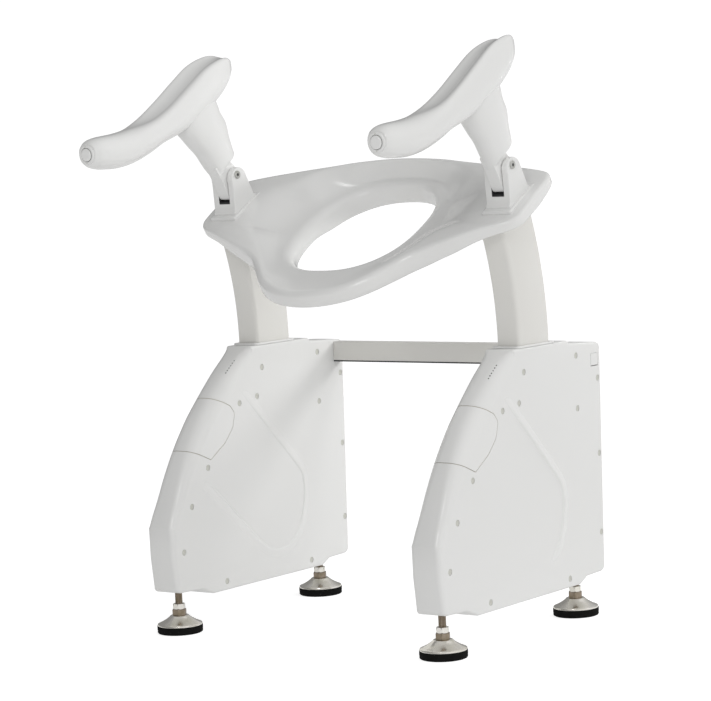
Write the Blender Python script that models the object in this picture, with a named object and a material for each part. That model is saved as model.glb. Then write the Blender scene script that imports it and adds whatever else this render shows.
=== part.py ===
"""Powered toilet-seat lift on two battery towers.

Frame: metres, +Z up, front faces -Y, X across.  The origin is on the floor at the middle of the
footprint.  The seat is modelled raised, and it rides on two arms curved about one virtual axis.
"""
import math

import bmesh
import bpy
from mathutils import Matrix, Vector

# ---- driving dimensions -------------------------------------------------------------------
GAP = 0.0003                    # clearance between pieces that touch
TOWER_X = 0.250                 # middle plane of a tower, its arm and its feet
TOWER_HALF = 0.026              # half the tower's width
WALL = 0.003                    # moulded cover wall
TOWER_TOP = 0.430
TOWER_BASE = 0.0525
FOOT_Y = (-0.137, 0.222)        # front and rear feet
ARC_Y, ARC_Z = -0.411, 0.434    # virtual axis of the curved lift arms
ARM_FRONT, ARM_REAR = 0.475, 0.560      # radii of the arm's front and rear faces
ARM_HALF = 0.0205               # half the arm's width
ARM_WALL = 0.003
SEAT_TILT = math.radians(28.5)  # seat plane, raised
SEAT_Y, SEAT_Z = 0.053, 0.6187  # middle of the seat's hole, raised
HOLE_HALF = (0.103, 0.124)      # half width and half length of the hole
BRACKET_X = 0.2614              # middle plane of an armrest bracket
BRACKET_HALF = 0.0215
SLOT_HALF = 0.0106
WING_TOP = 0.0245               # wing surface above the hole's rim
RIM_ROUND = 0.007               # rounded rim round the hole
SKIRT_WALL = 0.009              # wall that hangs down round the hole
HOLE_DEPTH = -0.026             # its lower edge at the hole's sides, over the rim plane
PIN_V, PIN_W = 0.0347, 0.0770   # armrest pivot in the seat's own plane axes
PIVOT_R = 0.0050
ARMREST_X = 0.2700
REST_SLOPE = math.radians(27.6)         # slope of the joint between armrest and stem
CONTROL_TIP = (-0.2668, 0.7470)         # middle of the armrest's end face, (y, z)
CONTROL_DROP = math.radians(5.0)        # the end face looks this much below level
CONTROLLER = ((-0.110, 0.090), (-0.050, 0.180))     # electronics box, low and high (y, z)
CROSSBAR = ((-0.2237, 0.255, 0.385), (0.2237, 0.275, 0.418))
STUD_R = 0.006
ARM_FOOT_ANGLE = math.radians(-8.0)     # where the arm's open lower end is, raised
ARM_TOP_W = 0.0070              # arm's upper end, over the plane of the hole's rim
ARM_STEPS = 9
HATCH_RECESS = 0.0004           # hatch faces sit this much inside the covers
ACTUATOR_FOOT = (0.044, 0.097)  # lower pivot of a linear actuator, (y, z)
ARM_PIN_ANGLE = math.radians(17.0)
ARM_PIN_R = 0.006
OPEN_PIVOT_GAP = 0.0024         # play in the rod eye, where the linkage is opened

# moulded cover outline of a tower, (y, z), from the front toe over the top to the rear
TOWER_OUTLINE = [(-0.166, 0.066), (-0.1735, 0.123), (-0.174, 0.1645), (-0.155, 0.206),
                 (-0.116, 0.280), (-0.067, 0.343), (-0.013, 0.393), (0.041, TOWER_TOP),
                 (0.190, TOWER_TOP), (0.194, 0.4255), (0.282, 0.420), (0.271, 0.0635),
                 (0.220, 0.062), (0.200, TOWER_BASE), (-0.080, TOWER_BASE), (-0.110, 0.064)]
# radius of the rounded outer edge at each of those points
EDGE_RADIUS = [0.008, 0.009, 0.010, 0.014, 0.020, 0.021, 0.020, 0.012, 0.006, 0.005, 0.005,
               0.005, 0.005, 0.005, 0.005, 0.006]
# battery hatch seen from the side, (y, z)
HATCH_OUTLINE = [(-0.200, 0.3163), (-0.0730, 0.2622), (-0.0358, 0.2843), (-0.0155, 0.3053),
                 (-0.0085, 0.3265), (-0.0115, 0.3365), (-0.0225, 0.3436), (-0.100, 0.3785)]

PLASTIC = ("white_plastic", (0.86, 0.86, 0.84), 0.25, 0.0)
ARM_PAINT = ("white_enamel", (0.84, 0.84, 0.82), 0.30, 0.0)
CHROME = ("polished_nickel", (0.70, 0.68, 0.65), 0.12, 1.0)
STEEL = ("stud_steel", (0.42, 0.34, 0.28), 0.38, 1.0)
RUBBER = ("black_rubber", (0.02, 0.02, 0.02), 0.75, 0.0)
DARK = ("dark_plastic", (0.08, 0.08, 0.09), 0.45, 0.0)
ZINC = ("zinc_steel", (0.55, 0.56, 0.58), 0.35, 1.0)


# ---- shared helpers -----------------------------------------------------------------------
def material(spec):
    """Return the named Principled material, made on first use."""
    name, colour, roughness, metallic = spec
    found = bpy.data.materials.get(name)
    if found:
        return found
    made = bpy.data.materials.new(name)
    made.use_nodes = True
    shader = made.node_tree.nodes["Principled BSDF"]
    shader.inputs["Base Color"].default_value = (*colour, 1.0)
    shader.inputs["Roughness"].default_value = roughness
    shader.inputs["Metallic"].default_value = metallic
    made.diffuse_color = (*colour, 1.0)
    return made


def empty(name, location, tilt=0.0, parent=None):
    """An empty on a joint's axis; its children are given in world metres."""
    axis = bpy.data.objects.new(name, None)
    axis.empty_display_size = 0.03
    bpy.context.scene.collection.objects.link(axis)
    axis.matrix_world = Matrix.Translation(location) @ Matrix.Rotation(tilt, 4, "X")
    if parent:
        attach(axis, parent)
    return axis


def attach(child, parent):
    """Parent an object and keep its place in the world."""
    bpy.context.view_layer.update()
    child.parent = parent
    child.matrix_parent_inverse = parent.matrix_world.inverted()


def solid(name, verts, faces, spec, parent=None, pivot=(0, 0, 0), matrix=None, flat=30.0):
    """Make an object from world-space vertices, with its origin on pivot."""
    mesh = bpy.data.meshes.new(name)
    bm = bmesh.new()
    made = [bm.verts.new(v) for v in verts]
    for face in faces:
        bm.faces.new([made[i] for i in face])
    bmesh.ops.recalc_face_normals(bm, faces=bm.faces[:])
    place = matrix if matrix else Matrix.Identity(4)
    bmesh.ops.transform(bm, matrix=Matrix.Translation(-Vector(pivot)) @ place, verts=bm.verts[:])
    bm.to_mesh(mesh)
    bm.free()
    mesh.shade_smooth()
    mesh.set_sharp_from_angle(angle=math.radians(flat))
    made_object = bpy.data.objects.new(name, mesh)
    made_object.location = pivot
    bpy.context.scene.collection.objects.link(made_object)
    if spec:
        mesh.materials.append(material(spec))
    if parent:
        attach(made_object, parent)
    return made_object


def loft(rings, close_start=True, close_end=True, loop=False):
    """Vertices and faces that join rings of equal length."""
    count = len(rings[0])
    verts = [point for ring in rings for point in ring]
    faces = []
    last = len(rings) if loop else len(rings) - 1
    for i in range(last):
        a, b = i * count, ((i + 1) % len(rings)) * count
        for k in range(count):
            m = (k + 1) % count
            faces.append((a + k, a + m, b + m, b + k))
    if not loop and close_start:
        faces.append(tuple(range(count)))
    if not loop and close_end:
        faces.append(tuple(range(len(verts) - count, len(verts))))
    return verts, faces


def prism(outline, low, high):
    """A (y, z) outline extruded along X."""
    return loft([[(low, y, z) for y, z in outline], [(high, y, z) for y, z in outline]])


def box(low, high):
    return prism([(low[1], low[2]), (high[1], low[2]), (high[1], high[2]), (low[1], high[2])],
                 low[0], high[0])


def lathe(profile, centre, axis, segments=24, bore=False):
    """A profile of (radius, along) turned about an axis; bore=True closes it as a ring."""
    axis = Vector(axis).normalized()
    side = axis.orthogonal().normalized()
    if abs(axis.x) > 0.9:
        side = Vector((0, 0, 1))
    third = axis.cross(side)
    rings = []
    for radius, along in profile:
        ring = []
        for k in range(segments):
            turn = 2 * math.pi * k / segments
            out = side * math.cos(turn) + third * math.sin(turn)
            ring.append(tuple(Vector(centre) + axis * along + out * radius))
        rings.append(ring)
    return loft(rings, loop=bore)


def arc(centre, radius, start, end, steps):
    """Points (y, z) on an arc, angles in degrees."""
    angles = [math.radians(start + (end - start) * k / steps) for k in range(steps + 1)]
    return [(centre[0] + radius * math.cos(a), centre[1] + radius * math.sin(a)) for a in angles]


def offset_outline(outline, distances):
    """Move each point of a clockwise (y, z) outline inward by its own distance."""
    count = len(outline)
    moved = []
    for i, (y, z) in enumerate(outline):
        before, after = outline[i - 1], outline[(i + 1) % count]
        first = Vector((y - before[0], z - before[1])).normalized()
        second = Vector((after[0] - y, after[1] - z)).normalized()
        inward = Vector((first.y + second.y, -first.x - second.x)).normalized()
        spread = max(0.5, inward.dot(Vector((first.y, -first.x))))
        moved.append((y + inward.x * distances[i] / spread, z + inward.y * distances[i] / spread))
    return moved


def cut(target, cutter):
    """Subtract a hidden cutter from target."""
    cutter.hide_render = True
    cutter.display_type = "WIRE"
    change = target.modifiers.new("cut_" + cutter.name, "BOOLEAN")
    change.operation = "DIFFERENCE"
    change.object = cutter


def join(target, other):
    """Add a hidden helper solid to target."""
    other.hide_render = True
    other.display_type = "WIRE"
    change = target.modifiers.new("join_" + other.name, "BOOLEAN")
    change.operation = "UNION"
    change.object = other


def shift(points, dx=0.0, dy=0.0, dz=0.0):
    return [(x + dx, y + dy, z + dz) for x, y, z in points]


def arc_point(radius, angle):
    """Point (y, z) on the lift's circle."""
    return ARC_Y + radius * math.cos(angle), ARC_Z + radius * math.sin(angle)


# ---- towers -------------------------------------------------------------------------------
def half_shell(outline, radii, inner, outer):
    """Half a tower between x = inner and x = outer, its outer edge rounded."""
    sign = 1 if outer > inner else -1
    rings = [[(inner, y, z) for y, z in outline]]
    for turn in (0, 30, 60, 90):
        angle = math.radians(turn)
        moved = offset_outline(outline, [r * (1 - math.cos(angle)) for r in radii])
        rings.append([(outer - sign * r * (1 - math.sin(angle)), y, z)
                      for r, (y, z) in zip(radii, moved)])
    return loft(rings)


def tower_cover(name, centre, out):
    """One moulded half of a tower's casing; out is the side its outer face looks to."""
    inner, outer = centre + out * GAP / 2, centre + out * TOWER_HALF
    cover = solid(name, *half_shell(TOWER_OUTLINE, EDGE_RADIUS, inner, outer), PLASTIC)
    cavity_outline = offset_outline(TOWER_OUTLINE, [WALL] * len(TOWER_OUTLINE))
    cavity_radii = [max(r - WALL, 0.001) for r in EDGE_RADIUS]
    cut(cover, solid(name + "_cavity", *half_shell(cavity_outline, cavity_radii,
                                                   inner - out * 0.002, outer - out * WALL), None))
    low, high = sorted((centre - out * 0.004, outer + out * 0.004))
    cut(cover, solid(name + "_hatch_cut", *prism(HATCH_OUTLINE, low, high), None))
    collar = ((centre - 0.0230, 0.0577, 0.415), (centre + 0.0230, 0.1548, 0.440))
    cut(cover, solid(name + "_collar_cut", *box(*collar), None))
    for place, y in zip(("front", "rear"), FOOT_Y):
        hole = lathe([(0.0075, 0.045), (0.0075, 0.080)], (centre, y, 0), (0, 0, 1), 16)
        cut(cover, solid(f"{name}_{place}_hole", *hole, None))
    return cover


def tower_frame(side, centre):
    """Steel chassis: a foot rail with tapped holes and a rear upright for the crossbar."""
    outline = [(-0.158, 0.072), (0.262, 0.072), (0.262, 0.400), (0.233, 0.400), (0.233, 0.084),
               (-0.158, 0.084)]
    frame = solid("frame_" + side, *prism(outline, centre - 0.019, centre + 0.019), ZINC)
    for place, y in zip(("front", "rear"), FOOT_Y):
        hole = lathe([(STUD_R + GAP, 0.060), (STUD_R + GAP, 0.095)], (centre, y, 0), (0, 0, 1), 16)
        cut(frame, solid(f"frame_{side}_{place}_thread", *hole, None))


def rectangle(centre, half_x, low_y, high_y, z, radius=0.0, steps=3):
    """A rounded rectangle of points at height z."""
    points = []
    corners = ((half_x, high_y, 0), (-half_x, high_y, 90), (-half_x, low_y, 180), (half_x, low_y, 270))
    for x, y, start in corners:
        cx, cy = x - math.copysign(radius, x), y - radius if y == high_y else y + radius
        for k in range(steps + 1):
            a = math.radians(start + 90 * k / steps)
            points.append((centre + cx + radius * math.cos(a), cy + radius * math.sin(a), z))
    return points


def arm_guide(side, centre):
    """Flanged collar that seals the arm at the tower's top."""
    shape = ((0.0227, 0.0580, 0.1545, 0.408, 0.0060), (0.0227, 0.0580, 0.1545, 0.4303, 0.0060),
             (0.0245, 0.0550, 0.1580, 0.4303, 0.0070), (0.0238, 0.0556, 0.1574, 0.4330, 0.0070),
             (0.0212, 0.0625, 0.1500, 0.4330, 0.0060), (0.0212, 0.0618, 0.1500, 0.408, 0.0060))
    rings = [rectangle(centre, half, low, high, z, r) for half, low, high, z, r in shape]
    solid("arm_guide_" + side, *loft(rings, loop=True), PLASTIC)


def arm_shoe(side, centre):
    """Low-friction block behind the arm, bolted to the upright."""
    rear = [arc_point(ARM_REAR + GAP, math.radians(a)) for a in (-9.5, -7, -4.5)]
    outline = [(rear[0][0], rear[0][1]), (0.2327, rear[0][1]), (0.2327, rear[2][1]),
               (rear[2][0], rear[2][1]), (rear[1][0], rear[1][1])]
    solid("arm_shoe_" + side, *prism(outline, centre - 0.016, centre + 0.016), DARK)


def port_flap(centre):
    """Flush flap over the charging socket, hinged at its rear edge."""
    outer = centre + TOWER_HALF
    low, high = (outer - 0.0020, 0.2530, 0.3845), (outer, 0.2730, 0.4040)
    pocket = box((low[0] - 0.0003, low[1] - GAP, low[2] - GAP), (outer + 0.002, high[1] + GAP, high[2] + GAP))
    cut(bpy.data.objects["outer_cover_right"], solid("port_pocket", *pocket, None))
    solid("charge_port_flap", *box(low, high), PLASTIC, pivot=(outer, 0.2730, 0.394))


def battery(side, centre):
    """Removable battery: a hatch cap over the tower's nose, with the cell pack behind it."""
    outline = [(-0.1153, 0.2809), (-0.0670, 0.3430), (-0.0525, 0.3564), (-0.0227, 0.3431),
               (-0.0119, 0.3361), (-0.0090, 0.3266), (-0.0159, 0.3056), (-0.0361, 0.2848),
               (-0.0729, 0.2627)]
    radii = [0.010, 0.021, 0.014, 0.005, 0.004, 0.004, 0.004, 0.004, 0.005]
    pivot = (centre, -0.070, 0.300)
    half = TOWER_HALF - HATCH_RECESS
    rings = []
    for out in (-1, 1):
        for turn in (90, 60, 30, 0) if out < 0 else (0, 30, 60, 90):
            angle = math.radians(turn)
            moved = offset_outline(outline, [r * (1 - math.cos(angle)) for r in radii])
            rings.append([(centre + out * (half - r * (1 - math.sin(angle))), y, z)
                          for r, (y, z) in zip(radii, moved)])
    hatch = solid("battery_hatch_" + side, *loft(rings), PLASTIC, pivot=pivot)
    pocket = [(-0.1010, 0.2805), (-0.0570, 0.3365), (-0.0235, 0.3375), (0.0100, 0.3250),
              (-0.0500, 0.2560), (-0.0720, 0.2664)]
    cut(hatch, solid("hatch_pocket_" + side, *prism(pocket, centre - 0.0215, centre + 0.0215), None,
                     parent=hatch))
    pack = [(-0.0995, 0.2817), (-0.0565, 0.3357), (-0.0245, 0.3365), (-0.0130, 0.3300),
            (0.0010, 0.3120), (-0.0440, 0.2600), (-0.0640, 0.2680)]
    solid("battery_pack_" + side, *prism(pack, centre - 0.0212, centre + 0.0212), DARK, pivot=pivot)


# ---- lift arms and their actuators --------------------------------------------------------
def seat_point(across, back, up):
    """World point from the raised seat's own axes, measured from the middle of its hole."""
    c, s = math.cos(SEAT_TILT), math.sin(SEAT_TILT)
    return across, SEAT_Y + back * c - up * s, SEAT_Z + back * s + up * c


def seat_height_angle(radius, up):
    """Angle on the lift's circle where it meets the plane at that height over the seat's rim."""
    c, s = math.cos(SEAT_TILT), math.sin(SEAT_TILT)
    level = -s * (ARC_Y - SEAT_Y) + c * (ARC_Z - SEAT_Z)
    return SEAT_TILT + math.asin((up - level) / radius)


def arm_ring(centre, half, front, rear, angle_front, angle_rear, corner, steps=2):
    """Rounded section of the arm; its front and rear faces may stop at different angles."""
    middle, depth = (front + rear) / 2, (rear - front) / 2
    ring = []
    for sx, sr, start in ((1, 1, 0), (-1, 1, 90), (-1, -1, 180), (1, -1, 270)):
        for k in range(steps + 1):
            a = math.radians(start + 90 * k / steps)
            x = sx * (half - corner) + corner * math.cos(a)
            radial = sr * (depth - corner) + corner * math.sin(a)
            share = (radial + depth) / (2 * depth)
            y, z = arc_point(middle + radial, angle_front + (angle_rear - angle_front) * share)
            ring.append((centre + x, y, z))
    return ring


def lift_arm(side, centre, axis):
    """Hollow arm curved about the lift axis, open at its lower end and closed under the seat."""
    top = [seat_height_angle(r, ARM_TOP_W) for r in (ARM_FRONT, ARM_REAR)]
    outer, inner = [], []
    for k in range(ARM_STEPS + 1):
        share = k / ARM_STEPS
        angles = [ARM_FOOT_ANGLE + (t - ARM_FOOT_ANGLE) * share for t in top]
        outer.append(arm_ring(centre, ARM_HALF, ARM_FRONT, ARM_REAR, *angles, 0.006))
        lower = [ARM_FOOT_ANGLE + (t - 0.008 - ARM_FOOT_ANGLE) * share for t in top]
        inner.append(arm_ring(centre, ARM_HALF - ARM_WALL, ARM_FRONT + ARM_WALL,
                              ARM_REAR - ARM_WALL, *lower, 0.004))
    rings = list(reversed(inner)) + outer
    solid("lift_arm_" + side, *loft(rings), ARM_PAINT, parent=axis, pivot=(0, ARC_Y, ARC_Z))


def arm_pin_place():
    return arc_point(529e-3, ARM_PIN_ANGLE)


def actuator(side, centre):
    """Linear actuator inside the hollow arm, with its clevis and pins."""
    foot, top = Vector((centre, *ACTUATOR_FOOT)), Vector((centre, *arm_pin_place()))
    along = (top - foot).normalized()
    length = (top - foot).length
    across = (1, 0, 0)
    body = solid("actuator_body_" + side, *lathe(
        [(0.0062, 0.018), (0.0062, 0.240), (0.0105, 0.240), (0.0105, 0.085), (0.0120, 0.080),
         (0.0120, 0.020), (0.0085, 0.016), (0.0085, 0.006)], foot, along, 16), ZINC, pivot=foot)
    join(body, solid(f"actuator_{side}_lug", *lathe(
        [(0.0115, -0.0085), (0.0115, 0.0085)], foot, across, 16), None, parent=body))
    cut(body, solid(f"actuator_{side}_eye", *lathe(
        [(0.0043, -0.03), (0.0043, 0.03)], foot, across, 16), None, parent=body))
    rod_start = length - 0.283
    rod = solid("actuator_rod_" + side, *lathe(
        [(0.0058, rod_start), (0.0058, length - 0.010)], foot, along, 16), CHROME, pivot=top)
    join(rod, solid(f"rod_{side}_lug", *lathe(
        [(0.0135, -0.0100), (0.0135, 0.0100)], top, across, 20), None, parent=rod))
    cut(rod, solid(f"rod_{side}_eye", *lathe(
        [(ARM_PIN_R + OPEN_PIVOT_GAP, -0.03), (ARM_PIN_R + OPEN_PIVOT_GAP, 0.03)], top, across, 20),
        None, parent=rod))
    clevis = [(-0.0145, 0.0843), (0.0145, 0.0843), (0.0145, 0.1055), (0.0090, 0.1055),
              (0.0090, 0.0850), (-0.0090, 0.0850), (-0.0090, 0.1055), (-0.0145, 0.1055)]
    low, high = ACTUATOR_FOOT[0] - 0.011, ACTUATOR_FOOT[0] + 0.011
    rings = [[(centre + x, y, z) for x, z in clevis] for y in (low, high)]
    ears = solid("actuator_clevis_" + side, *loft(rings), ZINC)
    cut(ears, solid(f"clevis_{side}_bore", *lathe(
        [(0.0043, -0.03), (0.0043, 0.03)], foot, across, 16), None))
    solid("actuator_pin_" + side, *lathe(
        [(0.0040, -0.0145), (0.0040, 0.0145)], foot, across, 16), ZINC)


def arm_pin(side, centre, axis):
    """Cross pin inside the arm that the actuator lifts by."""
    half = ARM_HALF - ARM_WALL - GAP
    solid("arm_pin_" + side, *lathe(
        [(ARM_PIN_R, -half), (ARM_PIN_R, half)],
        (centre, *arm_pin_place()), (1, 0, 0), 20), ZINC, parent=axis, pivot=(0, ARC_Y, ARC_Z))


# ---- levelling feet -----------------------------------------------------------------------
def foot(name, centre, y):
    """Levelling foot: rubber pad, conical base, stud with its hexagon, and a lock nut."""
    place, up = (centre, y, 0.0), (0, 0, 1)
    solid("foot_pad_" + name, *lathe(
        [(0.0335, 0.0), (0.0355, 0.0015), (0.0355, 0.0092)],
        place, up, 28), RUBBER, pivot=place)
    solid("foot_base_" + name, *lathe(
        [(0.0352, 0.0095), (0.0352, 0.0140), (0.0335, 0.0152), (0.0135, 0.0270), (0.0066, 0.0270),
         (0.0066, 0.0180)], place, up, 28), CHROME, pivot=place)
    stud = solid("foot_stud_" + name, *lathe(
        [(STUD_R, 0.0185), (STUD_R, 0.0990), (0.0050, 0.1000)],
        place, up, 16), STEEL, pivot=place)
    hexagon = 0.0115
    join(stud, solid(f"foot_{name}_hex", *lathe(
        [(hexagon, 0.0273), (hexagon, 0.0365)],
        place, up, 6), None, parent=stud))
    solid("foot_nut_" + name, *lathe(
        [(STUD_R + GAP, 0.0368), (0.0101, 0.0368), (0.0101, 0.0450), (STUD_R + GAP, 0.0450)],
        place, up, 18, bore=True), CHROME, pivot=place)


# ---- seat, brackets and armrests ----------------------------------------------------------
SEAT_PLAN = [(0.000, -0.196), (0.034, -0.192), (0.071, -0.178), (0.100, -0.158), (0.129, -0.126),
             (0.150, -0.102), (0.176, -0.088), (0.202, -0.075), (0.233, -0.060), (0.264, -0.044),
             (0.290, -0.030), (0.302, -0.018), (0.303, 0.000), (0.303, 0.040), (0.302, 0.078),
             (0.296, 0.096), (0.282, 0.104), (0.241, 0.112), (0.208, 0.116), (0.175, 0.121),
             (0.130, 0.130), (0.085, 0.139), (0.040, 0.145), (0.000, 0.147)]
SEAT_TOP = [0.000, 0.000, 0.001, 0.002, 0.005, 0.009, 0.014, 0.018, 0.021, 0.022,
            0.021, 0.020, 0.022, 0.0245, 0.0245,
            0.025, 0.026, 0.029, 0.031, 0.032, 0.033, 0.033, 0.033, 0.033]
SEAT_UNDER = [-0.025, -0.025, -0.025, -0.024, -0.023, -0.022, -0.018, -0.010, 0.002, 0.0075,
              0.0085, 0.0085, 0.0085, 0.0085, 0.0085,
              0.009, 0.010, 0.011, 0.010, 0.006, 0.000, -0.006, -0.010, -0.012]


def hole_point(angle, grow=0.0):
    """Point on the seat's superelliptic hole, (across, back)."""
    power = 2.0 / 2.35
    c, s = math.cos(angle), math.sin(angle)
    a, b = HOLE_HALF[0] + grow, HOLE_HALF[1] + grow
    return (math.copysign(abs(c) ** power, c) * a, math.copysign(abs(s) ** power, s) * b)


def seat_shell(axis):
    """One-piece moulded seat: a rim round the hole, wings over the arms, a raised rear lip."""
    half = list(zip(SEAT_PLAN, SEAT_TOP, SEAT_UNDER))
    full = half + [((-p[0], p[1]), t, u) for p, t, u in reversed(half[1:-1])]
    rings = [[] for _ in range(9)]
    for (x, v), top, under in full:
        angle = math.atan2(v / HOLE_HALF[1], x / HOLE_HALF[0])
        edge = Vector((x, v))
        out = edge.normalized()
        rim = Vector(hole_point(angle, RIM_ROUND))
        skirt = Vector(hole_point(angle, SKIRT_WALL))
        deep = HOLE_DEPTH - 0.010 * max(0.0, v / 0.147)
        middle = rim.lerp(edge, 0.55)
        raised = WING_TOP if abs(middle.x) > 0.2 else top * 0.4
        places = [(hole_point(angle), deep), (hole_point(angle), -0.006), (rim, 0.0), (middle, raised),
                  (edge - out * 0.006, top), (edge, max(top - 0.006, (top + under) / 2)),
                  (edge - out * 0.001, under), (skirt.lerp(edge, 0.30), under), (skirt, deep)]
        for ring, ((across, back), up) in zip(rings, places):
            ring.append(seat_point(across, back, up))
    solid("seat_shell", *loft(rings, loop=True), PLASTIC, parent=axis, pivot=(0, ARC_Y, ARC_Z))


def bracket(side, centre, axis):
    """Clevis bracket on the seat's wing that holds an armrest's knuckle."""
    top = arc((0.0362, 0.0685), 0.0185, 8, 172, 8)
    outline = [(0.0555, WING_TOP + 0.0002)] + top + [(-0.001, WING_TOP + 0.0002)]
    rings = [[seat_point(x, v, w) for v, w in outline]
             for x in (centre - BRACKET_HALF, centre + BRACKET_HALF)]
    pivot = (0, ARC_Y, ARC_Z)
    body = solid("bracket_" + side, *loft(rings), PLASTIC, parent=axis, pivot=pivot)
    slot = [[seat_point(x, v, w) for v, w in ((-0.02, 0.0405), (0.08, 0.0405), (0.08, 0.12), (-0.02, 0.12))]
            for x in (centre - SLOT_HALF, centre + SLOT_HALF)]
    cut(body, solid(f"bracket_{side}_slot", *loft(slot), None, parent=body))
    pin = seat_point(centre, PIN_V, PIN_W)
    cut(body, solid(f"bracket_{side}_bore", *lathe(
        [(PIVOT_R + GAP, -0.05), (PIVOT_R + GAP, 0.05)], pin, (1, 0, 0), 16), None, parent=body))
    half = BRACKET_HALF
    solid("pivot_bolt_" + side, *lathe(
        [(PIVOT_R, -half), (PIVOT_R, half + GAP), (0.0062, half + GAP), (0.0062, half + 0.0022)],
        pin, (1, 0, 0), 16), CHROME, parent=axis, pivot=pivot)


def section(across, front, rear, half, power=2.3, count=16):
    """Superelliptic ring whose (y, z) extremes are front and rear."""
    middle = ((front[0] + rear[0]) / 2, (front[1] + rear[1]) / 2)
    reach = ((rear[0] - front[0]) / 2, (rear[1] - front[1]) / 2)
    ring = []
    for k in range(count):
        turn = 2 * math.pi * (k + 0.5) / count
        c, s = math.cos(turn), math.sin(turn)
        along = math.copysign(abs(c) ** (2 / power), c)
        wide = math.copysign(abs(s) ** (2 / power), s)
        ring.append((across + half * wide, middle[0] + reach[0] * along, middle[1] + reach[1] * along))
    return ring


# stem sections, each ((front y, z), (rear y, z), half width), from the armrest down
STEM_SECTIONS = [((-0.0500, 0.7685), (0.0430, 0.8170), 0.0235), ((-0.0320, 0.7530), (0.0465, 0.7930), 0.0208),
                 ((-0.0130, 0.7365), (0.0530, 0.7660), 0.0196), ((0.0010, 0.7210), (0.0590, 0.7480), 0.0190),
                 ((0.0085, 0.7100), (0.0620, 0.7350), 0.0185)]
# armrest sections, each ((lower y, z), (upper y, z), half width), from the hand grip back
ARM_SECTIONS = [((-0.2650, 0.7290), (-0.2680, 0.7650), 0.0180), ((-0.2550, 0.7245), (-0.2570, 0.7710), 0.0225),
                ((-0.2350, 0.7205), (-0.2350, 0.7760), 0.0260), ((-0.2030, 0.7190), (-0.2060, 0.7780), 0.0275),
                ((-0.1680, 0.7235), (-0.1740, 0.7845), 0.0275), ((-0.1330, 0.7365), (-0.1420, 0.8010), 0.0280),
                ((-0.0970, 0.7515), (-0.1150, 0.8215), 0.0295), ((-0.0505, 0.7688), (-0.0720, 0.8490), 0.0325),
                ((-0.0080, 0.7910), (-0.0230, 0.8720), 0.0345), ((0.0280, 0.8105), (0.0180, 0.8865), 0.0345),
                ((0.0500, 0.8260), (0.0450, 0.8900), 0.0310), ((0.0645, 0.8420), (0.0640, 0.8850), 0.0220)]


def armrest(side, sign):
    """Armrest: stem with its knuckle in the bracket, arm body, and the control at its tip."""
    bracket_x, rest_x = sign * BRACKET_X, sign * ARMREST_X
    _, pin_y, pin_z = seat_point(0, PIN_V, PIN_W)
    pivot = (bracket_x, pin_y, pin_z)
    rings = []
    for i, (front, rear, half) in enumerate(STEM_SECTIONS):
        share = 1 - i / (len(STEM_SECTIONS) - 1)
        rings.append(section(bracket_x + (rest_x - bracket_x) * share, front, rear, half, 2.6))
    stem = solid("armrest_stem_" + side, *loft(rings), PLASTIC, pivot=pivot)
    knuckle = [seat_point(0, v, w)[1:] for v, w in
               arc((PIN_V, PIN_W), 0.0165, -60, 30, 4) + [(0.0400, 0.1060), (0.0050, 0.1040)]
               + arc((0.0200, 0.0540), 0.0100, 180, 300, 4)]
    half = SLOT_HALF - 0.0004
    join(stem, solid(f"stem_{side}_knuckle", *prism(knuckle, bracket_x - half, bracket_x + half), None,
                     parent=stem))
    cut(stem, solid(f"stem_{side}_bore", *lathe(
        [(PIVOT_R + GAP, -0.03), (PIVOT_R + GAP, 0.03)], pivot, (1, 0, 0), 16), None, parent=stem))
    lift = Vector((0, -math.sin(REST_SLOPE), math.cos(REST_SLOPE))) * GAP
    rings = [shift(section(rest_x, low, high, half, 2.5), dy=lift.y, dz=lift.z)
             for low, high, half in ARM_SECTIONS]
    solid("armrest_" + side, *loft(rings), PLASTIC, pivot=pivot)
    control(side, rest_x)


def control(side, across):
    """Ring and rocking cap set in the armrest's tip."""
    tip = (across, CONTROL_TIP[0], CONTROL_TIP[1])
    ahead = (0, -math.cos(CONTROL_DROP), -math.sin(CONTROL_DROP))
    solid("control_ring_" + side, *lathe(
        [(0.0105, 0.0), (0.0145, 0.0), (0.0145, 0.0022), (0.0135, 0.0032), (0.0105, 0.0032)],
        tip, ahead, 24, bore=True), PLASTIC)
    solid("control_cap_" + side, *lathe(
        [(0.0098, 0.0011), (0.0098, 0.0044), (0.0080, 0.0052)], tip, ahead, 24), PLASTIC,
        pivot=(across, tip[1] + ahead[1] * 0.0011, tip[2] + ahead[2] * 0.0011))


def controller(side, centre):
    """Electronics box behind the rear edge of the arm, inside a tower."""
    low, high = CONTROLLER
    solid("controller_" + side, *box((centre - 0.0165, *low), (centre + 0.0165, *high)), DARK)


def crossbar():
    """Downward-open steel channel between the towers."""
    (x0, y0, z0), (x1, y1, z1) = CROSSBAR
    wall = 0.003
    outline = [(y0, z0), (y0, z1), (y1, z1), (y1, z0), (y1 - wall, z0), (y1 - wall, z1 - wall),
               (y0 + wall, z1 - wall), (y0 + wall, z0)]
    solid("crossbar", *prism(outline, x0, x1), ARM_PAINT)


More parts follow.
